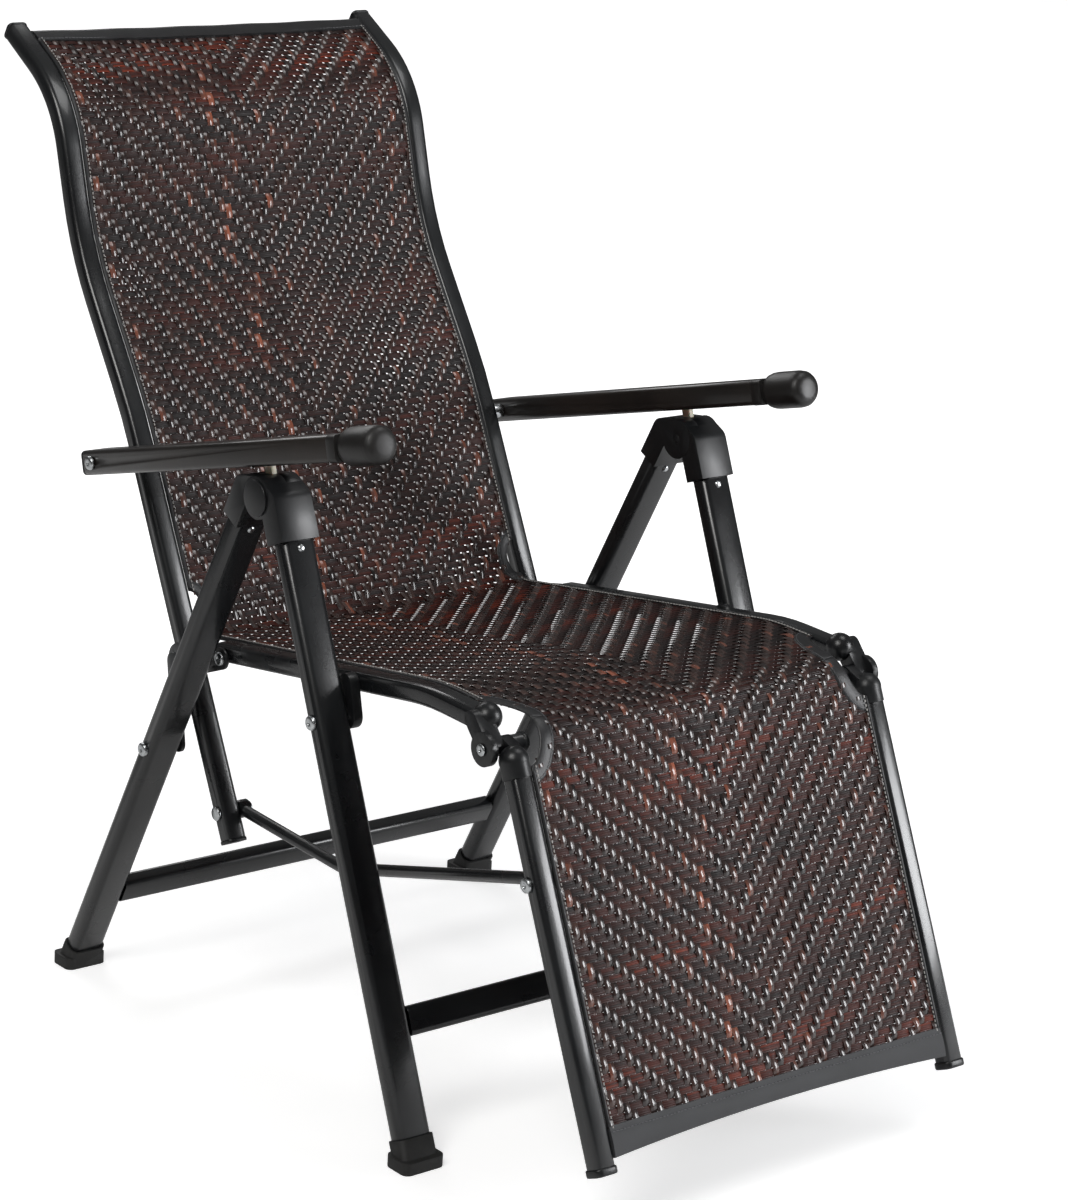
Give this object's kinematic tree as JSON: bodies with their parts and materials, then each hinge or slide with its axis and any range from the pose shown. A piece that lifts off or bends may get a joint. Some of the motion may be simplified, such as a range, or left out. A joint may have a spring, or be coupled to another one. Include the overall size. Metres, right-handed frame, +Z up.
{
  "type": "folding lounger chair",
  "caption": "Folding sling lounger of steel tubes on scissor legs, with a reclining back, a coupled swing-up footrest and padded-grip armrests.",
  "frame": {"origin": "on the floor, at the middle of the width and under the middle of the whole length", "axes": "+X to the sitter's left, +Y to the rear, +Z up; the sitter faces -Y"},
  "size_m": [0.6102, 1.1125, 1.0275],
  "materials": {
    "frame_steel": "satin black powder coat on steel tube",
    "arm_steel": "satin brown-black powder coat on steel tube",
    "plate_steel": "black coated steel plate and pins",
    "black_plastic": "semi-gloss moulded black polypropylene",
    "foot_rubber": "matt black moulded rubber",
    "grip_foam": "soft matt black grip",
    "zinc": "bright zinc plated steel",
    "nylon": "cream nylon",
    "woven_sling": "woven flat resin cane, dark brown with rust-red and orange strands",
    "hem_cloth": "dark grey bound cloth"
  },
  "bodies": {
    "front_frame": {"front_leg_l": "frame_steel", "front_leg_r": "frame_steel", "front_crossbar": "frame_steel", "front_foot_l": "foot_rubber", "front_foot_r": "foot_rubber", "front_knuckle_l": "black_plastic", "front_knuckle_r": "black_plastic", "apex_pins": "black_plastic", "front_rivets": "zinc", "seat_pivot_bolts": "zinc", "lock_tongues": "nylon"},
    "rear_frame": {"rear_leg_l": "frame_steel", "rear_leg_r": "frame_steel", "rear_crossbar": "frame_steel", "rear_foot_l": "foot_rubber", "rear_foot_r": "foot_rubber", "rear_knuckle_l": "black_plastic", "rear_knuckle_r": "black_plastic", "rear_rivets": "zinc", "strap_bolts": "zinc"},
    "straps": {"strap_l": "plate_steel", "strap_r": "plate_steel"},
    "seat": {"seat_rail_l": "frame_steel", "seat_rail_r": "frame_steel", "seat_hanger_l": "black_plastic", "seat_hanger_r": "black_plastic", "seat_knee_socket_l": "black_plastic", "seat_knee_socket_r": "black_plastic", "back_hinge_bolts": "zinc", "seat_sling": "woven_sling"},
    "brackets": {"back_bracket_l": "plate_steel", "back_bracket_r": "plate_steel"},
    "back": {"back_tube_l": "frame_steel", "back_tube_r": "frame_steel", "head_rod": "frame_steel", "back_caps": "black_plastic", "back_plugs": "black_plastic", "recline_bolts": "zinc", "back_sling": "woven_sling"},
    "arm_pivots": {"arm_bolts": "zinc"},
    "arms": {"armrest_l": "arm_steel", "armrest_r": "arm_steel", "arm_slide_l": "black_plastic", "arm_slide_r": "black_plastic", "arm_grip_l": "grip_foam", "arm_grip_r": "grip_foam", "arm_plugs": "black_plastic"},
    "link_pivots": {"link_pins": "zinc"},
    "links": {"link_rod_l": "frame_steel", "link_rod_r": "frame_steel"},
    "knees": {"knee_barrels": "plate_steel"},
    "footrest": {"foot_tube_l": "frame_steel", "foot_tube_r": "frame_steel", "foot_socket_l": "black_plastic", "foot_socket_r": "black_plastic", "foot_cap_l": "black_plastic", "foot_cap_r": "black_plastic", "foot_sling": "woven_sling", "foot_hem": "hem_cloth", "link_bolts": "zinc"}
  },
  "joints": [
    {"name": "fold", "type": "hinge", "parent": "front_frame", "child": "rear_frame", "pos_m": [0, -0.0375, 0.625], "axis": [-1, 0, 0], "range_deg": [0, 38]},
    {"name": "seat_fold", "type": "hinge", "parent": "front_frame", "child": "seat", "pos_m": [0, -0.14264, 0.418], "axis": [-1, 0, 0], "range_deg": [0, 72.1]},
    {"name": "strap_fold", "type": "hinge", "parent": "rear_frame", "child": "straps", "pos_m": [0, 0.16025, 0.302], "axis": [-1, 0, 0], "range_deg": [0, 65.1]},
    {"name": "back_fold", "type": "hinge", "parent": "seat", "child": "brackets", "pos_m": [0, 0.09391, 0.41363], "axis": [-1, 0, 0], "range_deg": [-104.1, 0]},
    {"name": "recline", "type": "hinge", "parent": "brackets", "child": "back", "pos_m": [0, 0.17364, 0.39], "axis": [-1, 0, 0], "range_deg": [0, 33]},
    {"name": "arm_fold", "type": "hinge", "parent": "back", "child": "arm_pivots", "pos_m": [0, 0.27479, 0.592], "axis": [-1, 0, 0], "range_deg": [0, 122.1]},
    {"name": "arm_recline", "type": "hinge", "parent": "arm_pivots", "child": "arms", "pos_m": [0, 0.27479, 0.592], "axis": [-1, 0, 0], "range_deg": [-24.7, 0]},
    {"name": "link_fold", "type": "hinge", "parent": "back", "child": "link_pivots", "pos_m": [0, 0.09602, 0.239], "axis": [-1, 0, 0], "range_deg": [0, 83.1]},
    {"name": "link_recline", "type": "hinge", "parent": "link_pivots", "child": "links", "pos_m": [0, 0.09602, 0.239], "axis": [-1, 0, 0], "range_deg": [-29.1, 0]},
    {"name": "knee_fold", "type": "hinge", "parent": "seat", "child": "knees", "pos_m": [0, -0.35876, 0.44525], "axis": [-1, 0, 0], "range_deg": [-75.7, 0]},
    {"name": "foot_recline", "type": "hinge", "parent": "knees", "child": "footrest", "pos_m": [0, -0.35876, 0.44525], "axis": [-1, 0, 0], "range_deg": [0, 53.9]}
  ],
  "couplings": [
    {"joint": "seat_fold", "follows": "fold", "ratio": 1.8947},
    {"joint": "back_fold", "follows": "fold", "ratio": -2.7368},
    {"joint": "arm_fold", "follows": "fold", "ratio": 3.2105},
    {"joint": "link_fold", "follows": "fold", "ratio": 2.1842},
    {"joint": "knee_fold", "follows": "fold", "ratio": -1.9895},
    {"joint": "strap_fold", "follows": "fold", "ratio": 1.7105},
    {"joint": "arm_recline", "follows": "recline", "ratio": -0.74545},
    {"joint": "link_recline", "follows": "recline", "ratio": -0.87879},
    {"joint": "foot_recline", "follows": "recline", "ratio": 1.6303}
  ]
}
